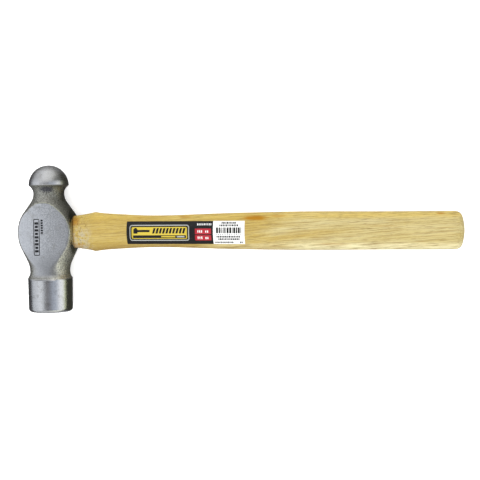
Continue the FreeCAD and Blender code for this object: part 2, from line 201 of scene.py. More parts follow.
class Nodes:
    """A material's or world's node tree, with a short way to add linked nodes."""

    def __init__(self, tree):
        self.tree = tree
        tree.nodes.clear()

    def add(self, kind, settings=None, **inputs):
        node = self.tree.nodes.new(kind)
        for key, value in (settings or {}).items():
            setattr(node, key, value)
        self.put(node, **inputs)
        return node

    def put(self, node, **inputs):
        """Sets or links sockets, found by name (with _ for a space) or by number, as in i0."""
        for key, value in inputs.items():
            numbered = key[0] == "i" and key[1:].isdigit()
            socket = node.inputs[int(key[1:]) if numbered else key.replace("_", " ")]
            if isinstance(value, bpy.types.NodeSocket):
                self.tree.links.new(value, socket)
            else:
                socket.default_value = value

    def through(self, kind, settings, *values):
        """The first output of a node that takes its values in order."""
        return self.add(kind, settings, **{"i%d" % n: value for n, value in enumerate(values)}).outputs[0]

    def math(self, operation, *values, clamp=False):
        return self.through("ShaderNodeMath", {"operation": operation, "use_clamp": clamp}, *values)

    def times(self, a, b):
        return self.math("MULTIPLY", a, b)

    def plus(self, a, b):
        return self.math("ADD", a, b)

    def swayed(self, value, by, amount):
        """A value with an amount of another added to it."""
        return self.math("MULTIPLY_ADD", by, amount, value)

    def rest_of(self, value):
        return self.math("SUBTRACT", 1.0, value, clamp=True)

    def less_half(self, value):
        return self.math("SUBTRACT", value, 0.5)

    def split(self, vector):
        """The X, Y and Z of a vector."""
        return self.add("ShaderNodeSeparateXYZ", Vector=vector).outputs

    def mapped(self, vector, **settings):
        return self.add("ShaderNodeMapping", Vector=vector, **settings).outputs[0]

    def away_from(self, vector, centre, size):
        """Distance from a centre, counted in sizes along each axis, so that 1 is an ellipsoid."""
        shifted = self.through("ShaderNodeVectorMath", {"operation": "SUBTRACT"}, vector, centre)
        scaled = self.through("ShaderNodeVectorMath", {"operation": "DIVIDE"}, shifted, size)
        return self.add("ShaderNodeVectorMath", {"operation": "LENGTH"}, i0=scaled).outputs["Value"]

    def ramp(self, fac, stops):
        """A colour ramp through (position, grey or colour) stops."""
        node = self.add("ShaderNodeValToRGB", Fac=fac)
        elements = node.color_ramp.elements
        elements.remove(elements[1])
        for number, (position, colour) in enumerate(stops):
            element = elements[0] if number == 0 else elements.new(position)
            element.position = position
            element.color = (*colour, 1) if isinstance(colour, tuple) else (colour, colour, colour, 1)
        return node.outputs["Color"]

    def fade(self, *values, kind="SMOOTHSTEP"):
        """A value's soft way from low to high, as 0 to 1 or between two further values."""
        return self.through("ShaderNodeMapRange", {"interpolation_type": kind}, *values)

    def linear(self, *values):
        return self.fade(*values, kind="LINEAR")

    def mix(self, fac, a, b):
        a, b = (colour if isinstance(colour, bpy.types.NodeSocket) else (*colour, 1) for colour in (a, b))
        return self.add("ShaderNodeMix", {"data_type": "RGBA"}, i0=fac, i6=a, i7=b).outputs[2]

    def coats(self, base, *coats):
        """A base colour under coats of (share, colour), the last one on top."""
        for share, colour in coats:
            base = self.mix(share, base, colour)
        return base

    def mix_values(self, fac, a, b):
        return self.add("ShaderNodeMix", {"data_type": "FLOAT"}, i0=fac, i2=a, i3=b).outputs[0]

    def noise(self, vector, scale, detail=4.0, roughness=0.55):
        settings = {"Scale": scale, "Detail": detail, "Roughness": roughness}
        return self.add("ShaderNodeTexNoise", Vector=vector, **settings).outputs[0]

    def attribute(self, name):
        return self.add("ShaderNodeAttribute", {"attribute_name": name}).outputs["Fac"]

    def bump(self, height, distance, strength=1.0, normal=None):
        node = self.add("ShaderNodeBump", Height=height, Distance=distance, Strength=strength)
        if normal is not None:
            self.put(node, Normal=normal)
        return node.outputs[0]


def new_material(name):
    """A material with its nodes, the eye-centred coordinates in millimetres, and a Principled shader."""
    material = bpy.data.materials.new(name)
    material.use_nodes = True
    nodes = Nodes(material.node_tree)
    shader = nodes.add("ShaderNodeBsdfPrincipled")
    output = nodes.add("ShaderNodeOutputMaterial", Surface=shader.outputs[0])
    output.is_active_output = True
    place = nodes.add("ShaderNodeTexCoord").outputs["Object"]
    kind = {"vector_type": "TEXTURE"}
    units = nodes.add("ShaderNodeMapping", kind, Vector=place, Location=EYE, Scale=(MM, MM, MM))
    return material, nodes, shader, units.outputs[0]


def srgb(red, green, blue):
    """A display colour from 0 to 255 as scene-linear values."""
    shares = (red / 255, green / 255, blue / 255)
    return tuple(c / 12.92 if c <= 0.04045 else ((c + 0.055) / 1.055) ** 2.4 for c in shares)


# -------- head: shape


def arc_points(centre, start, end, step=0.4):
    """Points along an arc from start to just before end, the short way round."""
    radius = math.dist(centre, start)
    first = math.atan2(start[1] - centre[1], start[0] - centre[0])
    turn = math.atan2(end[1] - centre[1], end[0] - centre[0]) - first
    turn = (turn + math.pi) % (2 * math.pi) - math.pi
    count = max(2, round(abs(turn) * radius / step))
    angles = [first + turn * i / count for i in range(count)]
    return [(centre[0] + radius * math.cos(a), centre[1] + radius * math.sin(a)) for a in angles]


def line_points(start, end, step=0.45):
    count = max(1, round(math.dist(start, end) / step))
    return [tuple(a + (b - a) * i / count for a, b in zip(start, end)) for i in range(count)]


def tangent_points(hollow, hollow_radius, bulge, bulge_radius):
    """Where the straight line that crosses from a hollow arc to a bulging arc touches them."""
    across, along = hollow[0] - bulge[0], hollow[1] - bulge[1]
    lean = math.acos((hollow_radius + bulge_radius) / math.hypot(across, along))
    turn = math.atan2(along, across) - math.copysign(lean, along)
    return tuple(
        (middle[0] + radius * math.cos(turn), middle[1] + radius * math.sin(turn))
        for middle, radius in ((hollow, -hollow_radius), (bulge, bulge_radius))
    )


def cove_centre(low, high):
    """Centre, level with the low point, of the arc through a low and a higher point."""
    rise, run = high[0] - low[0], high[1] - low[1]
    return low[0] + (rise * rise + run * run) / (2 * rise), low[1]


def head_outline():
    """The head's turned outline as (radius, place) points, from the ball's top to its face."""
    ball_edge, neck = (BALL_RADIUS, BALL_HEIGHT), (NECK_RADIUS, NECK_HEIGHT)
    bulge, waist = (BULGE_RADIUS, BULGE_HEIGHT), (WAIST_RADIUS, -WAIST_DEPTH)
    shoulder = (POLL_RADIUS, -POLL_DEPTH)
    flare = (NECK_RADIUS + FLARE_COVE, NECK_HEIGHT)
    above = (BULGE_RADIUS - BULGE_ROUND_ABOVE, BULGE_HEIGHT)
    below = (BULGE_RADIUS - BULGE_ROUND_BELOW, BULGE_HEIGHT)
    hollow = (WAIST_RADIUS + WAIST_COVE, -WAIST_DEPTH)
    flare_end, bulge_top = tangent_points(flare, FLARE_COVE, above, BULGE_ROUND_ABOVE)
    waist_start, bulge_foot = tangent_points(hollow, WAIST_COVE, below, BULGE_ROUND_BELOW)
    rim_start = (RIM_RADIUS, RIM_ROUND - FACE_DEPTH)
    rim_end = (RIM_RADIUS - RIM_ROUND, -FACE_DEPTH)
    ball_top = (0.15, BALL_HEIGHT + math.sqrt(BALL_RADIUS**2 - 0.15**2))
    return (
        arc_points((0, BALL_HEIGHT), ball_top, ball_edge)
        + arc_points(cove_centre(neck, ball_edge), ball_edge, neck)
        + arc_points(flare, neck, flare_end)
        + line_points(flare_end, bulge_top)
        + arc_points(above, bulge_top, bulge)
        + arc_points(below, bulge, bulge_foot)
        + line_points(bulge_foot, waist_start)
        + arc_points(hollow, waist_start, waist)
        + arc_points(cove_centre(waist, shoulder), waist, shoulder, 0.3)
        + line_points(shoulder, rim_start)
        + arc_points((rim_end[0], rim_start[1]), rim_start, rim_end, 0.25)
        + line_points(rim_end, (0.3, -FACE_DEPTH), 0.6)
    )


CHEEK_CROWN = 0.0021  # how fast a cheek falls away from its middle, per square millimetre


def cheek_limit(place, across):
    """How far out from the middle plane the head may reach, at places along and across it."""
    into = np.clip(-CHEEK_END_DEPTH - place, 0, CHEEK_RUNOUT)
    limit = CHEEK_REACH + CHEEK_RUNOUT - np.sqrt(CHEEK_RUNOUT**2 - into**2)
    beyond = (place > CHEEK_TOP) | (place < -CHEEK_END_DEPTH - CHEEK_RUNOUT + 0.01)
    return np.where(beyond, 99.0, limit - CHEEK_CROWN * across**2)


def eye_half_sizes(along):
    """The eye's half length (Y) and half width (Z) at places through the head."""
    share = np.clip(np.abs(along) / EYE_REACH, 0, 1.2) ** 2
    return [w / 2 + (m - w) / 2 * share for m, w in zip(EYE_MOUTH, EYE_WAIST)]


def beside_eye(points):
    """Distance of points outside the eye's wall, roughly; negative inside the hole."""
    half_y, half_z = eye_half_sizes(points[:, 0])
    reach = np.hypot(points[:, 1] / half_y, points[:, 2] / half_z)
    slope = np.hypot(points[:, 1] / half_y**2, points[:, 2] / half_z**2) / np.maximum(reach, 1e-6)
    return (reach - 1) / np.maximum(slope, 1e-6)


def eye_tube(reach, rings=33, columns=96):
    """The eye's hole as a closed solid that reaches some way to both sides of its middle."""
    angles = np.arange(columns) * 2 * math.pi / columns
    points = []
    for x in np.linspace(-reach, reach, rings):
        half_y, half_z = eye_half_sizes(x)
        points += [(x, half_y * math.cos(a), half_z * math.sin(a)) for a in angles]
    return points + [(-reach, 0, 0), (reach, 0, 0)], ring_faces(rings, columns)


HEAD_COLUMNS = 256
CHEEK_CORNER = 0.9  # width over which a cheek's border is rounded
CHEEK_FADE = 2.6  # the same where the cheek runs out into the poll


def turned_head():
    """Points and faces of the head before the eye and the stamp are cut."""
    outline = np.array(head_outline())
    angles = (np.arange(HEAD_COLUMNS) + 0.5) * 2 * math.pi / HEAD_COLUMNS
    radius, place = outline[:, :1], outline[:, 1:]
    across, up = radius * np.cos(angles), radius * np.sin(angles)
    limit = np.broadcast_to(cheek_limit(place, across), up.shape)
    border = CHEEK_CORNER + (CHEEK_FADE - CHEEK_CORNER) * np.clip(-(place + 18) / 8, 0, 1)
    flat = np.sign(up) * np.minimum(smooth_min(np.abs(up), limit, border), np.abs(up))
    rings = np.stack([across, np.broadcast_to(place, up.shape), flat], axis=2).reshape(-1, 3)
    ends = np.array([[0, BALL_HEIGHT + BALL_RADIUS, 0], [0, -FACE_DEPTH, 0]])
    faces = ring_faces(len(outline), HEAD_COLUMNS)
    return np.vstack([rings, ends]), [tuple(reversed(face)) for face in faces]


def soften_eye_border(points, depth=0.35, width=0.9):
    """Rounds the head's skin down a little towards the mouths of the eye."""
    away = np.clip(beside_eye(points) / width, 0, 1)
    near = np.abs(points[:, 0]) > EYE_REACH / 2
    drop = near * depth * (1 - away) ** 2
    return points - np.sign(points) * drop[:, None] * (1, 0, 0)


def polished(points):
    """1 on the ground and polished ball and poll, 0 on the forged middle."""
    ball = np.clip((points[:, 1] - BALL_HEIGHT + 0.15) / 0.3, 0, 1)
    poll = np.clip((-POLL_DEPTH + 0.1 - points[:, 1]) / 0.4, 0, 1)
    return np.maximum(ball, poll)


def rubbed(points):
    """1 close round the eye's mouth, where the sides of the head are rubbed bright."""
    return np.clip((4.5 - beside_eye(points)) / 2.0, 0, 1) * (np.abs(points[:, 0]) > EYE_REACH / 2)


def on_cheek(points):
    """1 on the two flat cheeks, fading out at their borders."""
    place = points[:, 1]
    reach = np.abs(points[:, 2]) - cheek_limit(place, points[:, 0])
    slack = 0.15 + 1.3 * np.clip(-(place + 16) / 9, 0, 1)
    ground = np.clip(1 + (reach + 0.04) / slack, 0, 1)
    return ground * np.clip((place + CHEEK_END_DEPTH + 3) / 2.5, 0, 1)


def forge_marks(piece):
    """Presses the shallow unevenness of a die-forged skin into the head's middle."""
    points = coordinates(piece)
    normals = np.zeros(len(points) * 3, np.float32)
    piece.data.vertices.foreach_get("normal", normals)
    normals = normals.reshape(-1, 3).astype(float)
    rough = (1 - polished(points)) * (1 - 0.92 * on_cheek(points))
    rough *= np.clip(beside_eye(points) / 1.2, 0, 1)
    broad = roughness_of(points, 0.16, 1, 2)
    fine = roughness_of(points, 0.9, 2, 3)
    depth = rough * np.clip(0.10 + 0.10 * broad + 0.07 * fine, 0, 0.3)
    moved = to_frame(points - normals * depth[:, None]).astype(np.float32)
    piece.data.vertices.foreach_set("co", moved.ravel())
    piece.data.update()


# -------- head: stamp

STAMP_MIDDLE, STAMP_LENGTH, STAMP_WIDTH = (-4.3, -3.0), 22.4, 4.0
STAMP_LINE, STAMP_CORNER, STAMP_DEPTH = 0.5, 0.9, 0.34


def rounded_rectangle(width, height, corner, steps=6):
    """Outline of a rounded rectangle about the origin, anticlockwise."""
    outline = []
    for quarter, (side, end) in enumerate(((1, 1), (-1, 1), (-1, -1), (1, -1))):
        middle = side * (width / 2 - corner), end * (height / 2 - corner)
        for step in range(steps + 1):
            angle = math.pi / 2 * (quarter + step / steps)
            outline.append((middle[0] + corner * math.cos(angle), middle[1] + corner * math.sin(angle)))
    return outline


def prism(outline, middle, low, high, hole=()):
    """Points and faces of an upright prism, with an optional hole of as many corners."""
    rings = [(ring, z) for ring in (outline, hole) for z in (low, high)]
    points = [(x + middle[0], y + middle[1], z) for ring, z in rings for x, y in ring]
    top = len(outline)
    pairs = [(i, (i + 1) % top) for i in range(top)]
    faces = [(i, j, top + j, top + i) for i, j in pairs]
    if not hole:
        return points, faces + [tuple(reversed(range(top))), tuple(range(top, 2 * top))]
    inner, inner_top = 2 * top, 3 * top
    faces += [(inner + j, inner + i, inner_top + i, inner_top + j) for i, j in pairs]
    faces += [(i, inner + i, inner + j, j) for i, j in pairs]
    return points, faces + [(top + i, top + j, inner_top + j, inner_top + i) for i, j in pairs]


def stamp_tool():
    """The generic mark, as the solid that presses it: a frame with plain bars, and a row of dots."""
    parts = []
    low, high = CHEEK_REACH - STAMP_DEPTH, CHEEK_REACH + 0.8
    inner_corner = STAMP_CORNER - STAMP_LINE
    parts.append(prism(
        rounded_rectangle(STAMP_WIDTH, STAMP_LENGTH, STAMP_CORNER), STAMP_MIDDLE, low, high,
        rounded_rectangle(STAMP_WIDTH - 2 * STAMP_LINE, STAMP_LENGTH - 2 * STAMP_LINE, inner_corner),
    ))
    bars, pitch = 9, 2.12
    for number in range(bars):
        along = STAMP_MIDDLE[1] + (number - (bars - 1) / 2) * pitch
        width = (2.5, 2.0)[number % 2]
        bar = rounded_rectangle(width, 1.45, 0.2, 2)
        parts.append(prism(bar, (STAMP_MIDDLE[0], along), low, high))
    for number in range(6):
        dot = rounded_rectangle(1.5, 1.1, 0.3, 2)
        parts.append(prism(dot, (-0.85, 7.2 - number * 1.5), low + 0.08, high))
    points, faces = [], []
    for part_points, part_faces in parts:
        base = len(points)
        points += part_points
        faces += [tuple(base + i for i in face) for face in part_faces]
    return points, faces


def stamped(points):
    """1 inside the stamp's recesses."""
    skin = cheek_limit(points[:, 1], points[:, 0])
    near = (points[:, 2] > CHEEK_REACH - STAMP_DEPTH - 0.05) & (points[:, 2] < skin - 0.1)
    box = (np.abs(points[:, 0] + 3.2) < 3.6) & (np.abs(points[:, 1] - STAMP_MIDDLE[1]) < 12)
    return near & box


def make_head():
    steel = head_steel()
    dark = stamp_floor()
    points, faces = turned_head()
    points = soften_eye_border(points)
    piece = new_piece("hammer_head", points, faces, [steel, dark], "head_steel", ["head"])
    forge_marks(piece)
    cut(piece, *eye_tube(EYE_REACH + 1.5))
    cut(piece, *stamp_tool())
    points = coordinates(piece)
    deep = stamped(points)
    for face in piece.data.polygons:
        face.material_index = int(all(deep[i] for i in face.vertices))
    mask(piece, "polish", polished(points))
    mask(piece, "cheek", on_cheek(points))
    mask(piece, "rubbed", rubbed(points))
    mask(piece, "eye_wall", 1 - np.clip(beside_eye(points) / 0.6, 0, 1))
    sharpen(piece, 32)


# -------- head: steel


def lathe_rings(nodes, place):
    """Fine rings left by turning the ball and the poll."""
    x, y, z = nodes.split(place)
    radius = nodes.math("SQRT", nodes.plus(nodes.times(x, x), nodes.times(z, z)))
    lathe = nodes.swayed(nodes.times(y, 5.0), radius, 3.5)
    turned = nodes.add("ShaderNodeCombineXYZ", X=nodes.times(x, 0.06), Y=lathe, Z=nodes.times(z, 0.06))
    return nodes.noise(turned.outputs[0], 1.3, 3.0, 0.6)


def satin_colour(nodes, place, mottle):
    """The ground cheeks: mottled, darker at the foot, with painted shade by the handle and a painted
    highlight away from it.
    """
    x, y, _ = nodes.split(place)
    cloud = nodes.noise(place, 0.11, 3.0, 0.55)
    stops = [(0.34, (0.43, 0.445, 0.465)), (0.50, (0.59, 0.605, 0.63)), (0.66, (0.77, 0.78, 0.80))]
    foot = nodes.fade(y, -9.0, -21.0, 0.0, 0.62)
    # painted shade: the cheek darkened towards the handle side
    shaded_side = nodes.fade(nodes.swayed(x, cloud, 14.0), 2.0, 20.0, 0.0, 0.35)
    # painted highlight: the cheek brightened away from the handle
    lit_far_side = nodes.fade(nodes.swayed(x, cloud, 16.0), -8.0, 14.0, 0.55, 0.0)
    return nodes.coats(
        nodes.ramp(mottle, stops), (foot, (0.31, 0.315, 0.325)), (shaded_side, (0.42, 0.43, 0.44)),
        (lit_far_side, (0.74, 0.76, 0.79)),
    )


def skin_colour(nodes, place, pits):
    """The forged skin: dark in its pits, with painted shade above the handle and painted glints of light
    below it.
    """
    x, y, _ = nodes.split(place)
    stops = [(0.30, (0.12, 0.115, 0.095)), (0.48, (0.39, 0.385, 0.34)), (0.64, (0.80, 0.80, 0.74))]
    # painted shade: the forged skin darkened on its side above the handle
    shaded_right = nodes.fade(nodes.swayed(x, y, 0.6), 12.0, 22.0, 0.0, 0.5)
    # painted highlight: bright glints on the skin's side below the handle
    lit_side_below = nodes.times(nodes.fade(y, -5.0, -12.0), nodes.fade(x, 2.0, 7.0))
    painted_glints = nodes.times(lit_side_below, nodes.fade(pits, 0.40, 0.60, 0.20, 0.95))
    return nodes.coats(
        nodes.ramp(pits, stops), (shaded_right, (0.13, 0.128, 0.105)), (painted_glints, (0.98, 0.97, 0.86))
    )


def steel_marks(nodes, place, colour, cheek, forged, pits):
    """The cheek's rim with a painted highlight, a patch of forging scale under the ball, tarnish, and a
    dark eye.
    """
    x, y, _ = nodes.split(place)
    # painted highlight: a bright yellow-green line along the cheek's border at its upper right
    cheek_rim_highlight = nodes.fade(nodes.times(cheek, nodes.rest_of(cheek)), 0.10, 0.24, 0.0, 0.6)
    upper_right = nodes.fade(nodes.plus(x, y), 9.0, 15.0)
    away = nodes.away_from(place, (2.6, 26.2, 10.0), (5.4, 2.1, 5.0))
    ragged = nodes.swayed(away, nodes.less_half(pits), 2.2)
    scale_patch = nodes.times(nodes.fade(ragged, 0.55, 1.15, 0.85, 0.0), forged)
    tarnish = nodes.fade(nodes.noise(place, 0.22, 3.0, 0.6), 0.52, 0.70, 0.0, 0.35)
    return nodes.coats(
        colour, (nodes.times(cheek_rim_highlight, upper_right), (0.92, 0.94, 0.60)),
        (scale_patch, (0.075, 0.075, 0.10)), (tarnish, (0.33, 0.32, 0.29)),
        (nodes.times(nodes.attribute("eye_wall"), 0.55), (0.10, 0.085, 0.06)),
    )


def head_steel():
    """Forged steel, ground satin on the cheeks and polished on the ball and the poll."""
    material, nodes, shader, place = new_material("head_forged_steel")
    polish, cheek = nodes.attribute("polish"), nodes.attribute("cheek")
    forged = nodes.math("SUBTRACT", nodes.rest_of(polish), cheek, clamp=True)
    grain = nodes.noise(place, 3.2, 5.0, 0.62)
    pits = nodes.noise(place, 1.6, 5.0, 0.72)
    scratches = nodes.noise(nodes.mapped(place, Scale=(2.4, 0.22, 2.4)), 2.2, 4.0, 0.6)
    rings = lathe_rings(nodes, place)
    coarse = nodes.less_half(nodes.noise(place, 1.15, 4.0, 0.7))
    mottle = nodes.swayed(grain, coarse, 1.4)

    bright = nodes.ramp(rings, [(0.3, (0.60, 0.605, 0.61)), (0.7, (0.75, 0.755, 0.765))])
    freckles = nodes.fade(mottle, 0.60, 0.75, 0.0, 0.55)
    bright = nodes.mix(freckles, bright, (0.40, 0.41, 0.43))
    ground = nodes.mix(polish, satin_colour(nodes, place, mottle), bright)
    colour = nodes.mix(forged, ground, skin_colour(nodes, place, pits))
    colour = steel_marks(nodes, place, colour, cheek, forged, pits)

    satin_rough = nodes.linear(scratches, 0.3, 0.7, 0.27, 0.38)
    skin_rough = nodes.linear(pits, 0.3, 0.7, 0.52, 0.34)
    bright_rough = nodes.linear(rings, 0.3, 0.7, 0.13, 0.19)
    softer = nodes.fade(nodes.split(place)["Y"], 0.0, 10.0, 0.0, 0.12)
    ground_rough = nodes.mix_values(polish, satin_rough, nodes.plus(bright_rough, softer))
    rough = nodes.mix_values(forged, ground_rough, skin_rough)
    rubbed_share = nodes.times(nodes.attribute("rubbed"), forged)
    rough = nodes.mix_values(rubbed_share, rough, 0.14)

    satin_bump = nodes.bump(nodes.plus(mottle, scratches), 0.00005, 0.75)
    unrubbed = nodes.math("SUBTRACT", forged, rubbed_share, clamp=True)
    skin_height = nodes.times(unrubbed, nodes.plus(pits, nodes.times(grain, 0.4)))
    skin_bump = nodes.bump(skin_height, 0.00016, 0.9, satin_bump)
    turned = nodes.bump(nodes.times(rings, polish), 0.00001, 0.25, skin_bump)
    nodes.put(shader, Metallic=1.0, Base_Color=colour, Roughness=rough, Normal=turned)
    return material


def stamp_floor():
    """The dark floor of the stamped mark."""
    material, nodes, shader, place = new_material("stamp_dark")
    soot = nodes.noise(place, 4.0, 3.0)
    colour = nodes.ramp(soot, [(0.3, (0.006, 0.006, 0.007)), (0.7, (0.028, 0.028, 0.032))])
    rough = nodes.linear(soot, 0.3, 0.7, 0.75, 0.95)
    nodes.put(shader, Base_Color=colour, Roughness=rough, Specular_IOR_Level=0.15)
    return material


# -------- handle: shape


def spline_through(sections):
    """Half height and half thickness as smooth functions of place, through the sections."""
    table = np.array(sections)
    places, values = table[:, 0], table[:, 1:] / 2
    gaps = np.diff(places)
    slopes = np.diff(values, axis=0) / gaps[:, None]
    count = len(places)
    system, right = np.eye(count), np.zeros((count, 2))
    for i in range(1, count - 1):
        system[i, i - 1 : i + 2] = gaps[i - 1], 2 * (gaps[i - 1] + gaps[i]), gaps[i]
        right[i] = 6 * (slopes[i] - slopes[i - 1])
    bends = np.linalg.solve(system, right)

    def halves(place):
        place = np.asarray(place, float)
        i = np.clip(np.searchsorted(places, place) - 1, 0, count - 2)
        after, before = (place - places[i])[..., None], (places[i + 1] - place)[..., None]
        gap = gaps[i][..., None]
        curve = (bends[i] * before**3 + bends[i + 1] * after**3) / (6 * gap)
        curve += (values[i] / gap - bends[i] * gap / 6) * before
        curve += (values[i + 1] / gap - bends[i + 1] * gap / 6) * after
        return curve[..., 0], curve[..., 1]

    return halves


shoulder_halves = spline_through(SHOULDER)
grip_halves = spline_through(GRIP)
HANDLE_COLUMNS = 128


def butt_rings(start_place, angles):
    """Rings of the rounded corner and the shallow dome that end the handle."""
    half_y, half_z = grip_halves(start_place)
    dome_middle = BUTT_END - BUTT_DOME
    core = np.stack([(half_y - BUTT_ROUND) * np.cos(angles), (half_z - BUTT_ROUND) * np.sin(angles)], 1)
    outward = np.stack([half_z * np.cos(angles), half_y * np.sin(angles)], 1)
    outward /= np.linalg.norm(outward, axis=1)[:, None]
    reach = np.linalg.norm(core, axis=1)
    corner = dome_middle + np.sqrt((BUTT_DOME - BUTT_ROUND) ** 2 - reach**2)
    last = np.arctan2(corner - dome_middle, reach)
    rings = []
    for step in range(13):
        turn = last * step / 12
        flat = core + outward * (BUTT_ROUND * np.cos(turn))[:, None]
        rings.append(np.column_stack([corner + BUTT_ROUND * np.sin(turn), flat]))
    for share in np.linspace(0.92, 0.08, 12):
        flat = rings[12][:, 1:] * share
        along = dome_middle + np.sqrt(BUTT_DOME**2 - (flat**2).sum(1))
        rings.append(np.column_stack([along, flat]))
    return rings, (BUTT_END, 0, 0)


def tenon_end_rings(angles):
    """Rings of the tenon's end, dressed to follow the head's round side, from its middle out."""
    half_y, half_z = eye_half_sizes(TENON_TAPER_END)
    rings = []
    for share in np.linspace(0.06, 1.0, 12):
        y, z = share * half_y * np.cos(angles), share * half_z * np.sin(angles)
        turned = np.sqrt(BULGE_ROUND_ABOVE**2 - (y - BULGE_HEIGHT) ** 2) - BULGE_ROUND_ABOVE
        turned += BULGE_RADIUS - TENON_SINK
        rings.append(np.column_stack([-np.sqrt(turned**2 - z**2), y, z]))
    return rings, (TENON_SINK - BULGE_RADIUS, 0, 0)


def handle_skin():
    angles = np.arange(HANDLE_COLUMNS) * 2 * math.pi / HANDLE_COLUMNS

    def ring(place, halves):
        half_y, half_z = halves(place)
        along = np.full(len(angles), place)
        return np.column_stack([along, half_y * np.cos(angles), half_z * np.sin(angles)])

    rings, start = tenon_end_rings(angles)
    for halves, places in (
        (eye_half_sizes, np.arange(-15, SHOULDER[0][0] - 0.5, 1.5)),
        (shoulder_halves, np.linspace(SHOULDER[0][0], SHOULDER[-1][0], 16)),
        (grip_halves, np.linspace(GRIP[0][0], 60, 40)),
        (grip_halves, np.linspace(61.5, BUTT_START - 1.5, 150)),
    ):
        rings += [ring(place, halves) for place in places]
    end_rings, end = butt_rings(BUTT_START, angles)
    rings += end_rings
    return np.vstack(rings + [np.array([start, end])]), ring_faces(len(rings), HANDLE_COLUMNS)


KERF_WIDTH, KERF_DEPTH, KERF_REACH = 1.3, 27.0, 12
WOOD_WEDGE_HEAD, WOOD_WEDGE_DEPTH = 3.4, 22.0
STEEL_WEDGE_HEAD, STEEL_WEDGE_TIP, STEEL_WEDGE_DEPTH = 2.2, 0.5, 14.0
STEEL_WEDGE_WIDTH, STEEL_WEDGE_SPREAD = 9.6, 4.8
WEDGE_BACK = -EYE_REACH - 1.0


def cut_wedge_slots(handle):
    """The wooden wedge's saw kerf, flared at its mouth, and the slots of the two steel wedges."""
    tip, floor = WOOD_WEDGE_DEPTH - EYE_REACH, KERF_DEPTH - EYE_REACH
    upper = [(floor, KERF_WIDTH / 2), (tip, KERF_WIDTH / 2), (WEDGE_BACK, WOOD_WEDGE_HEAD / 2)]
    kerf = upper + [(x, -z) for x, z in reversed(upper)]
    points, faces = prism(kerf, (0, 0), -KERF_REACH, KERF_REACH)
    cut(handle, [(x, z, y) for x, y, z in points], [face[::-1] for face in faces])
    reach, tip = STEEL_WEDGE_WIDTH / 2, STEEL_WEDGE_DEPTH - EYE_REACH
    for middle in (STEEL_WEDGE_SPREAD, -STEEL_WEDGE_SPREAD):
        outline = [
            (WEDGE_BACK, middle - STEEL_WEDGE_HEAD / 2), (tip, middle - STEEL_WEDGE_TIP / 2),
            (tip, middle + STEEL_WEDGE_TIP / 2), (WEDGE_BACK, middle + STEEL_WEDGE_HEAD / 2),
        ]
        cut(handle, *prism(outline, (0, 0), -reach, reach))


def make_handle():
    points, faces = handle_skin()
    piece = new_piece("handle_wood", points, faces, [handle_wood()], "handle_wood", ["handle"])
    cut_wedge_slots(piece)
    sharpen(piece, 30)


# -------- handle: wood

# Amber stains in the grain: place along the handle, height, half length, half height, strength
STAINS = [
    (130.6, 7.9, 8.0, 1.8, 1.0), (143.5, 9.0, 5.0, 0.9, 0.45), (87.0, 8.8, 4.5, 0.9, 0.60),
    (237.0, 9.9, 3.2, 0.8, 0.75), (18.6, 6.6, 3.0, 3.6, 0.75), (20.5, -8.5, 4.0, 1.6, 0.55),
    (61.0, 8.6, 6.0, 0.8, 0.30), (176.0, -7.5, 9.0, 0.9, 0.22), (205.0, 3.0, 12.0, 0.8, 0.16),
]
WOOD_TILT = 3.6  # degrees by which the grain climbs along the handle
RING_PITCH = 1.45  # millimetres from one growth ring to the next


def stretched(nodes, place, along, across, turn=0.0):
    """Coordinates scaled differently along and across the handle, for marks that follow the grain."""
    turned = (0, 0, math.radians(-turn))
    return nodes.mapped(place, Rotation=turned, Scale=(along, across, across))


def wood_layers(nodes, place):
    """Straight-grained wood's growth rings, pores and broad change of colour."""
    lean = (math.radians(14), math.radians(1.2), math.radians(-WOOD_TILT))
    lean = nodes.mapped(place, Rotation=lean)
    x, y, z = nodes.split(lean)
    long_place = stretched(nodes, lean, 0.035, 1.0)
    across = nodes.swayed(y, nodes.noise(long_place, 0.20, 3.0, 0.5), 7.5)
    across = nodes.plus(nodes.noise(long_place, 1.1, 3.0, 0.6), across)
    across = nodes.swayed(across, nodes.times(z, z), 0.012)
    ring = nodes.math("FRACT", nodes.math("DIVIDE", across, RING_PITCH))
    stops = [(0.0, 0.30), (0.10, 0.0), (0.42, 0.08), (0.66, 0.55), (0.84, 1.0), (1.0, 0.30)]
    rings = nodes.ramp(ring, stops)
    gaps = nodes.noise(stretched(nodes, lean, 0.10, 0.9), 1.0, 2.0)
    rings = nodes.times(rings, nodes.fade(gaps, 0.36, 0.60, 0.45, 1.0))
    dashes = nodes.noise(stretched(nodes, lean, 0.12, 2.9), 1.0, 2.0, 0.5)
    dashes = nodes.times(nodes.fade(dashes, 0.56, 0.65), nodes.linear(x, 25.0, 140.0, 0.45, 1.0))
    fine = nodes.noise(stretched(nodes, lean, 0.30, 3.6), 1.0, 2.0, 0.5)
    pores = nodes.math("MAXIMUM", dashes, nodes.times(nodes.fade(fine, 0.60, 0.70), 0.7))
    broad = nodes.noise(stretched(nodes, lean, 0.02, 0.16), 1.0, 3.0, 0.55)
    return rings, pores, broad


def stain_mask(nodes, place):
    """Soft amber patches at the STAINS, broken up along the grain."""
    fibres = nodes.noise(stretched(nodes, place, 0.10, 1.4), 1.0, 4.0, 0.6)
    total = None
    for along, height, half_length, half_height, strength in STAINS:
        away = nodes.away_from(place, (along, height, 6.0), (half_length, half_height, 5.5))
        uneven = nodes.swayed(away, nodes.less_half(fibres), 1.6)
        patch = nodes.fade(uneven, 0.45, 1.20, strength, 0.0)
        total = patch if total is None else nodes.math("MAXIMUM", total, patch)
    return total


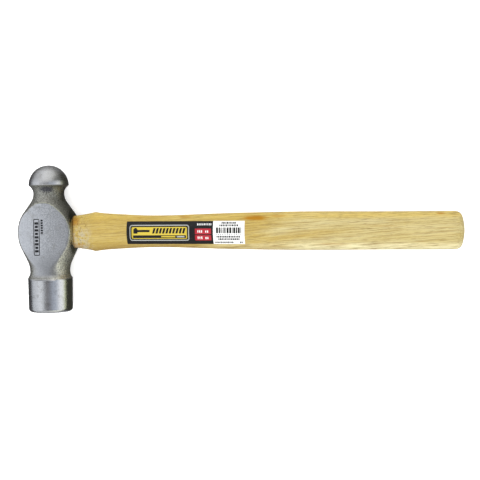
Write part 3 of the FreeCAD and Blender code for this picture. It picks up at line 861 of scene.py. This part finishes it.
def throat_marks(nodes, place, colour):
    """Haze, fine nicks and a dark seam where the handle goes into the head."""
    along, height, _ = nodes.split(place)
    near = nodes.fade(along, 24.0, 32.0, 1.0, 0.0)
    cloud = nodes.fade(nodes.noise(place, 0.5, 4.0, 0.65), 0.38, 0.62)
    haze = nodes.times(nodes.times(near, cloud), nodes.fade(height, -3.0, 5.5, 0.72, 0.0864))
    nicks = nodes.noise(stretched(nodes, place, 1.25, 0.62), 1.0, 3.0, 0.7)
    nicks = nodes.times(nodes.fade(nicks, 0.56, 0.64, 0.0, 0.60), near)
    seam = nodes.times(nodes.fade(along, 16.0, 19.5, 0.7, 0.0), nodes.fade(along, -12.0, 0.0))
    grime = nodes.fade(nodes.noise(place, 0.8, 4.0, 0.7), 0.35, 0.65, 0.4, 1.0)
    end_grain = nodes.times(nodes.fade(along, -15.0, -13.0, 0.5, 0.0), grime)
    return nodes.coats(
        colour, (haze, srgb(168, 162, 142)), (nicks, srgb(92, 68, 28)), (seam, srgb(128, 82, 28)),
        (end_grain, srgb(104, 78, 44)),
    )


def base_wood(nodes, place, broad):
    """The wood's broad colour: amber along the neck, creamy on the grip, with a painted highlight low on
    the grip and painted shade along its underside.
    """
    along, height, _ = nodes.split(place)
    steps = (0.30, 0.50, 0.70)
    amber = (srgb(168, 141, 68), srgb(174, 150, 77), srgb(180, 160, 94))
    cream = (srgb(177, 159, 98), srgb(185, 170, 116), srgb(191, 180, 134))
    amber, cream = (nodes.ramp(broad, list(zip(steps, tones))) for tones in (amber, cream))
    drift = nodes.swayed(along, nodes.less_half(broad), 140.0)
    normal = nodes.add("ShaderNodeNewGeometry").outputs["Normal"]
    facing = nodes.split(normal)["Y"]
    on_grip = nodes.fade(drift, 85.0, 175.0)
    # painted highlight: a pale band low on the grip
    lit_grip_band = nodes.times(nodes.fade(height, -5.5, -8.5, 0.0, 0.65), on_grip)
    # painted shade under the neck, and a thin painted shadow line under the grip
    neck_shade = nodes.times(nodes.fade(facing, -0.35, -0.90, 0.0, 0.62), nodes.rest_of(on_grip))
    grip_shade = nodes.times(nodes.fade(facing, -0.88, -0.99, 0.0, 0.45), on_grip)
    upper = nodes.fade(height, 6.0, 9.5, 0.0, 0.65)
    return nodes.coats(
        amber, (nodes.fade(drift, 120.0, 185.0), cream), (lit_grip_band, srgb(222, 213, 170)),
        (neck_shade, srgb(136, 106, 42)), (grip_shade, srgb(140, 118, 66)), (upper, srgb(206, 178, 84)),
    )


def handle_wood():
    """Pale varnished wood: fine growth rings along the handle, short pores and a few amber stains."""
    material, nodes, shader, place = new_material("handle_varnished_wood")
    rings, pores, broad = wood_layers(nodes, place)
    flecks = nodes.noise(stretched(nodes, place, 0.5, 3.6, WOOD_TILT), 1.0, 3.0, 0.7)
    colour = nodes.coats(
        base_wood(nodes, place, broad), (nodes.times(rings, 0.62), srgb(134, 106, 46)),
        (nodes.times(pores, 0.50), srgb(100, 78, 36)),
        (nodes.fade(flecks, 0.45, 0.75, 0.0, 0.20), srgb(198, 184, 142)),
        (stain_mask(nodes, place), srgb(158, 108, 0)),
    )
    colour = throat_marks(nodes, place, colour)
    height = nodes.math("SUBTRACT", nodes.times(rings, -0.35), pores)
    ripple = nodes.bump(nodes.noise(place, 0.35, 3.0, 0.5), 0.0006, 0.25)
    grain_bump = nodes.bump(height, 0.00005, 0.6, ripple)
    sheen = nodes.linear(nodes.noise(place, 0.6, 4.0), 0.3, 0.7, 0.42, 0.55)
    nodes.put(shader, Base_Color=colour, Roughness=sheen, Normal=grain_bump)
    nodes.put(shader, Coat_Weight=0.08, Coat_Roughness=0.28, Specular_IOR_Level=0.22)
    return material


def wedge_wood():
    """Raw wedge of a darker wood, seen on its rough end."""
    material, nodes, shader, place = new_material("wedge_raw_wood")
    rings, pores, broad = wood_layers(nodes, place)
    colour = nodes.mix(rings, srgb(150, 112, 66), srgb(104, 72, 38))
    colour = nodes.mix(nodes.times(pores, 0.8), colour, srgb(86, 56, 28))
    colour = nodes.mix(nodes.fade(broad, 0.3, 0.7, 0.0, 0.3), colour, srgb(176, 140, 90))
    fuzz = nodes.noise(place, 2.5, 4.0)
    rough = nodes.linear(fuzz, 0.3, 0.7, 0.60, 0.80)
    nodes.put(shader, Base_Color=colour, Roughness=rough, Normal=nodes.bump(fuzz, 0.00008, 0.8))
    return material


def wedge_steel():
    """Dull stamped steel with hammer marks and a little rust."""
    material, nodes, shader, place = new_material("wedge_dull_steel")
    marks = nodes.noise(place, 0.9, 4.0, 0.65)
    rust = nodes.fade(nodes.noise(place, 0.6, 5.0, 0.7), 0.52, 0.68)
    metal = nodes.ramp(marks, [(0.36, (0.20, 0.20, 0.21)), (0.62, (0.62, 0.62, 0.63))])
    colour = nodes.mix(nodes.times(rust, 0.7), metal, srgb(112, 70, 42))
    rough = nodes.linear(marks, 0.3, 0.7, 0.38, 0.62)
    dents = nodes.bump(marks, 0.00012, 0.8)
    nodes.put(shader, Metallic=0.9, Base_Color=colour, Roughness=rough, Normal=dents)
    return material


# -------- sticker


def sticker_point(u, v, lift):
    """Points a lift above the handle: u from the sticker's end near the head, v up from its middle."""
    along, height = np.broadcast_arrays(LABEL_START + np.asarray(u), np.asarray(v) - LABEL_DROP)
    half_y, half_z = grip_halves(along)
    up = half_z * np.sqrt(1 - (height / half_y) ** 2)
    normal_y, normal_z = height / half_y**2, up / half_z**2
    size = np.hypot(normal_y, normal_z)
    return np.stack([along, height + lift * normal_y / size, up + lift * normal_z / size], axis=-1)


BLACK_LENGTH = 53.3
FILM_LOW, FILM_TOP = 0.02, 0.095
INK_STEP, INK_THICKNESS = 0.011, 0.008


def make_film():
    """The sticker's film: a black part and a white part, bent round the handle's upper side."""
    black = np.linspace(0, BLACK_LENGTH, 36)
    white = np.linspace(BLACK_LENGTH, LABEL_LENGTH, 14)[1:]
    grid_u, grid_v = np.meshgrid(
        np.concatenate([black, white]), np.linspace(-LABEL_HEIGHT / 2, LABEL_HEIGHT / 2, 29), indexing="ij"
    )
    rows, columns = grid_u.shape
    top = sticker_point(grid_u, grid_v, FILM_TOP).reshape(-1, 3)
    low = sticker_point(grid_u, grid_v, FILM_LOW).reshape(-1, 3)
    base = rows * columns
    cells = [(i, j) for i in range(rows - 1) for j in range(columns - 1)]
    steps = (0, columns, columns + 1, 1)
    faces = [tuple(i * columns + j + step for step in steps) for i, j in cells]
    faces += [tuple(base + k for k in reversed(face)) for face in faces]
    rim = [i * columns for i in range(rows)]
    rim += [(rows - 1) * columns + j for j in range(1, columns)]
    rim += [i * columns + columns - 1 for i in range(rows - 2, -1, -1)]
    rim += list(range(columns - 2, 0, -1))
    faces += [(b, a, base + a, base + b) for a, b in zip(rim, rim[1:] + rim[:1])]
    kinds = [int(i >= len(black) - 1) for i, _ in cells]
    kinds += [1] * (len(faces) - len(cells))
    tones = {"sticker_black": (11, 10, 9), "sticker_white": (226, 226, 224)}
    materials = [print_ink(name, srgb(*tone)) for name, tone in tones.items()]
    piece = new_piece("sticker_film", np.vstack([top, low]), faces, materials, "label_print", ["label"])
    piece.data.polygons.foreach_set("material_index", kinds)
    sharpen(piece, 40)


class Print:
    """Collects the flat shapes printed on the sticker, each a thin skin of one ink."""

    def __init__(self):
        self.points, self.faces, self.inks = [], [], []
        self.random = random.Random(7)

    def rows(self, ink, level, rows):
        """A shape given as rows (v, left u, right u), from its lowest row to its highest."""
        width = max(right - left for _, left, right in rows)
        parts = max(1, math.ceil(width / 2.0))
        base = len(self.points)
        lift = FILM_TOP + INK_STEP * level
        for v, left, right in rows:
            u = np.linspace(left, right, parts + 1)
            self.points += [tuple(p) for p in sticker_point(u, np.full_like(u, v), lift)]
        for i in range(len(rows) - 1):
            for j in range(parts):
                a = base + i * (parts + 1) + j
                self.faces.append((a, a + 1, a + parts + 2, a + parts + 1))
                self.inks.append(ink)

    def box(self, ink, level, u0, u1, v0, v1, corner=0.0):
        """A rectangle, with rounded corners if a corner radius is given."""
        turns = [math.pi / 12 * step for step in range(6 if corner else 0)]
        ends = [(corner * (1 - math.cos(a)), corner * (1 - math.sin(a))) for a in turns]
        low, high = v0 + corner, v1 - corner
        count = max(1, math.ceil((high - low) / 0.5))
        rows = [(v0 + rise, u0 + inset, u1 - inset) for rise, inset in ends]
        rows += [(low + (high - low) * i / count, u0, u1) for i in range(count + 1)]
        rows += [(v1 - rise, u0 + inset, u1 - inset) for rise, inset in reversed(ends)]
        self.rows(ink, level, rows)

    def slant(self, ink, level, u0, u1, v0, v1, lean):
        """A bar whose upper end is shifted along by a lean."""
        steps = [i / 6 for i in range(7)]
        self.rows(ink, level, [(v0 + (v1 - v0) * t, u0 + lean * t, u1 + lean * t) for t in steps])

    def blocks(self, ink, level, u0, u1, v0, v1, shortest, longest, gap):
        """A row of plain blocks of uneven lengths, where the real sticker has small print."""
        u = u0
        while u < u1 - shortest:
            length = min(self.random.uniform(shortest, longest), u1 - u)
            self.box(ink, level, u, u + length, v0, v1)
            u += length + gap


INKS = {
    "black": (14, 13, 12), "white": (228, 228, 226), "yellow": (188, 166, 52),
    "silver": (160, 162, 158), "red": (162, 30, 42), "grey": (38, 38, 40),
}
BLACK, WHITE, YELLOW, SILVER, RED, GREY = range(len(INKS))


def print_panel(sheet):
    """The yellow panel with its silver line: a plain hammer sign, slanted bars and a bar below."""
    for box in (
        (SILVER, 1, 1.9, 38.7, -4.8, 4.7, 1.5), (BLACK, 2, 2.45, 38.15, -4.25, 4.15, 1.1),
        (YELLOW, 3, 3.2, 37.4, -3.6, 3.4, 0.7), (BLACK, 4, 4.3, 6.9, -0.5, 2.3, 0.4),
        (BLACK, 5, 4.8, 6.4, 2.0, 2.9, 0.3), (BLACK, 5, 6.4, 14.4, 0.4, 1.7, 0.4),
    ):
        sheet.box(*box)
    for number in range(10):
        start = 15.9 + number * 2.05
        sheet.slant(BLACK, 4, start, start + 1.3, -0.45, 2.75, 0.9)
    sheet.box(BLACK, 4, 4.0, 36.7, -3.2, -1.5, 0.15)
    sheet.box(YELLOW, 5, 21.4, 30.2, -2.75, -1.95)
    sheet.box(SILVER, 5, 31.0, 35.8, -2.75, -1.95)


def print_red_boxes(sheet):
    """Two red boxes with plain white blocks, under a row of small white blocks."""
    sheet.blocks(WHITE, 1, 43.6, 52.2, 4.3, 5.45, 0.45, 0.8, 0.45)
    for low, high in ((-0.95, 2.4), (-4.6, -1.55)):
        sheet.box(RED, 1, 42.2, 52.2, low, high, 0.12)
        foot, top = (low + high) / 2 - 0.75, (low + high) / 2
        sheet.blocks(WHITE, 2, 43.8, 47.4, foot, top + 0.75, 0.6, 0.7, 0.5)
        sheet.blocks(WHITE, 2, 48.6, 50.9, foot, top + 0.5, 0.6, 0.7, 0.45)


def print_white_part(sheet):
    """Dark lines of blocks and a row of bars, where the real sticker has small print and a bar code."""
    for u0, u1, v0 in ((58.4, 67.7, 5.1), (57.2, 69.2, 3.6)):
        sheet.blocks(BLACK, 1, u0, u1, v0, v0 + 1.15, 0.45, 1.0, 0.3)
    u = 55.2
    while u < 70.6:
        width = sheet.random.choice((0.45, 0.6, 0.85, 1.2))
        sheet.box(BLACK, 1, u, u + width, -0.4, 3.0)
        u += width + sheet.random.choice((0.35, 0.4, 0.6))
    sheet.blocks(GREY, 1, 55.4, 70.2, -1.35, -0.75, 0.3, 0.5, 0.7)
    for u0, u1, v0 in ((55.4, 70.2, -3.0), (56.4, 69.8, -4.5)):
        sheet.blocks(GREY, 1, u0, u1, v0, v0 + 1.15, 0.45, 1.0, 0.28)
    sheet.blocks(BLACK, 1, 54.0, 66.0, -6.3, -5.3, 0.4, 0.9, 0.25)
    sheet.blocks(BLACK, 1, 69.4, 71.4, -6.3, -5.3, 0.4, 0.7, 0.25)


def print_ink(name, colour):
    """Glossy ink, a little uneven, with faint scuffs."""
    material, nodes, shader, place = new_material(name)
    speckle = nodes.noise(place, 3.0, 4.0, 0.6)
    scuffs = nodes.noise(nodes.mapped(place, Scale=(0.25, 2.2, 1.0)), 1.1, 5.0, 0.7)
    scuffs = nodes.fade(scuffs, 0.58, 0.74)
    lighter = tuple(min(1.0, c * 1.15 + 0.004) for c in colour)
    shade = nodes.mix(speckle, tuple(c * 0.86 for c in colour), lighter)
    shade = nodes.mix(nodes.times(scuffs, 0.07), shade, (0.55, 0.53, 0.48))
    rough = nodes.linear(scuffs, 0.0, 1.0, 0.30, 0.55)
    waves = nodes.bump(nodes.noise(place, 0.7, 3.0), 0.00008, 0.3)
    nodes.put(shader, Base_Color=shade, Roughness=rough, Normal=waves)
    nodes.put(shader, Coat_Weight=0.08, Coat_Roughness=0.15, Specular_IOR_Level=0.3)
    return material


def make_print():
    sheet = Print()
    for part in (print_panel, print_red_boxes, print_white_part):
        part(sheet)
    inks = [print_ink("ink_" + name, srgb(*tone)) for name, tone in INKS.items()]
    piece = new_piece("sticker_print", sheet.points, sheet.faces, inks, "label_print")
    piece.data.polygons.foreach_set("material_index", sheet.inks)
    skin = piece.modifiers.new("ink", "SOLIDIFY")
    skin.thickness = INK_THICKNESS * MM
    skin.offset = -1
    sharpen(piece, 40)


def dress_wedges():
    """The carried-over wedges get their own materials."""
    wood, steel = wedge_wood(), wedge_steel()
    for name in ("wood_wedge", "steel_wedge_ball_side", "steel_wedge_poll_side"):
        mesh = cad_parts[name].data
        mesh.materials.clear()
        mesh.materials.append(wood if name == "wood_wedge" else steel)


# -------- light and floor

# The tent's brightness from the left (0) to the right (1): overhead, away at +Y, and near at -Y;
# then the same for what lies below it
STRIP = [
    (0.0, (0.72, 0.75, 0.80)), (0.25, (1.06, 1.09, 1.14)), (0.31, (0.86, 0.89, 0.94)),
    (0.37, (0.60, 0.62, 0.66)), (0.44, (0.30, 0.30, 0.31)), (0.63, (0.24, 0.24, 0.26)),
    (0.72, (0.46, 0.50, 0.58)), (0.90, (0.62, 0.67, 0.77)), (0.95, (1.15, 1.17, 1.22)),
    (1.0, (1.25, 1.27, 1.28)),
]
BEYOND = [
    (0.0, (0.52, 0.53, 0.55)), (0.25, (0.78, 0.79, 0.81)), (0.42, (1.08, 1.08, 1.09)),
    (0.55, (0.95, 0.95, 0.94)), (0.75, (0.88, 0.88, 0.86)), (0.84, (0.30, 0.30, 0.27)),
    (1.0, (0.04, 0.04, 0.03)),
]
NEARER = [
    (0.0, (0.75, 0.78, 0.82)), (0.5, (0.60, 0.61, 0.62)), (0.8, (1.05, 1.07, 0.96)),
    (1.0, (1.25, 1.28, 0.98)),
]
BELOW = [
    (0.0, (0.06, 0.06, 0.065)), (0.2, (0.11, 0.11, 0.11)), (0.35, (0.13, 0.13, 0.13)),
    (0.7, (0.050, 0.050, 0.038)),
]
STAGE_REACH, WALL_HEIGHT = 3.0, 4.0  # metres
NEAR_GLOW = [(0.0, (0.26, 0.27, 0.28)), (0.5, (0.46, 0.47, 0.49)), (1.0, (0.30, 0.30, 0.31))]


def light_world():
    """A bright tent above the surface, with darkness below it, as seen in polished steel."""
    world = bpy.data.worlds.new("studio")
    bpy.context.scene.world = world
    world.use_nodes = True
    nodes = Nodes(world.node_tree)
    side, far, up = nodes.split(nodes.add("ShaderNodeTexCoord").outputs["Generated"])
    across = nodes.linear(side, -1.0, 1.0)
    edge_glow = nodes.times(nodes.fade(side, 0.75, 0.92), nodes.fade(up, 0.0, -0.10))
    tent = nodes.coats(
        nodes.ramp(across, STRIP), (edge_glow, (0.95, 1.0, 0.62)),
        (nodes.fade(far, 0.22, 0.45), nodes.ramp(across, BEYOND)),
        (nodes.fade(far, -0.25, -0.55), nodes.ramp(across, NEARER)),
    )
    far_glow = nodes.times(nodes.fade(far, 0.35, 0.95), nodes.fade(side, 0.55, 0.1))
    below = nodes.coats(
        nodes.ramp(across, BELOW), (nodes.fade(far, -0.45, -0.85), nodes.ramp(across, NEAR_GLOW)),
        (far_glow, (0.44, 0.44, 0.44)),
    )
    lip = nodes.fade(nodes.math("ABSOLUTE", far), 0.30, 0.15)
    lip = nodes.times(nodes.fade(side, 0.55, 0.90, 0.0, 0.24), lip)
    horizon = nodes.fade(nodes.plus(up, lip), -0.07, 0.06)
    faint_horizon = nodes.fade(up, -0.60, 0.20)
    is_far = nodes.fade(far, 0.35, 0.70)
    height = nodes.mix_values(is_far, horizon, faint_horizon)
    background = nodes.add("ShaderNodeBackground", Color=nodes.mix(height, below, tent), Strength=0.9)
    nodes.add("ShaderNodeOutputWorld", Surface=background.outputs[0])


def add_area(name, place, target, size, watts, colour):
    data = bpy.data.lights.new(name, "AREA")
    data.shape = "RECTANGLE"
    data.size, data.size_y = size
    data.energy = watts
    data.color = colour
    light = add_object(name, data)
    light.location = place
    light.rotation_euler = (Vector(target) - Vector(place)).to_track_quat("-Z", "Y").to_euler()
    light.visible_glossy = False


def white_sheet(name, points, faces, tone, glow):
    """Matt white faces that give off a little light of their own, unseen in reflections."""
    mesh = bpy.data.meshes.new(name)
    mesh.from_pydata(points, [], faces)
    material = bpy.data.materials.new(name + "_white")
    material.use_nodes = True
    inputs = material.node_tree.nodes["Principled BSDF"].inputs
    inputs["Base Color"].default_value = (tone, tone, tone, 1)
    inputs["Roughness"].default_value = 0.9
    inputs["Emission Color"].default_value = (1, 1, 1, 1)
    inputs["Emission Strength"].default_value = glow
    mesh.materials.append(material)
    sheet = add_object(name, mesh)
    sheet.visible_glossy = False
    return sheet


def add_floor():
    signs = ((-1, -1), (1, -1), (1, 1), (-1, 1))
    corners = [(x * STAGE_REACH, y * STAGE_REACH, 0) for x, y in signs]
    floor = white_sheet("floor", corners, [(0, 1, 2, 3)], 0.93, 0.42)


def add_backdrop():
    """A plain pale wall far behind, seen by the camera only."""
    columns = 48
    turns = [2 * math.pi * i / columns for i in range(columns)]
    points = [
        (STAGE_REACH * math.cos(a), STAGE_REACH * math.sin(a), z) for z in (0.0, WALL_HEIGHT) for a in turns
    ]
    ends = [(i + 1) % columns for i in range(columns)]
    faces = [(i, columns + i, columns + j, j) for i, j in enumerate(ends)]
    wall = white_sheet("backdrop", points, faces, 0.9, 1.0)
    wall.visible_diffuse = wall.visible_shadow = False


# -------- finish

bpy.context.scene.view_settings.view_transform = "Standard"
place_camera()
light_world()
add_area("key", (-0.15, -0.30, 0.85), (0, 0, 0.01), (0.8, 0.8), 3.0, (1, 0.99, 0.97))
add_area("fill", (0.1, 0.05, 1.1), (0.05, 0, 0.01), (2.4, 2.2), 22.0, (1, 0.995, 0.985))
add_floor()
add_backdrop()
make_head()
make_handle()
make_film()
make_print()
dress_wedges()
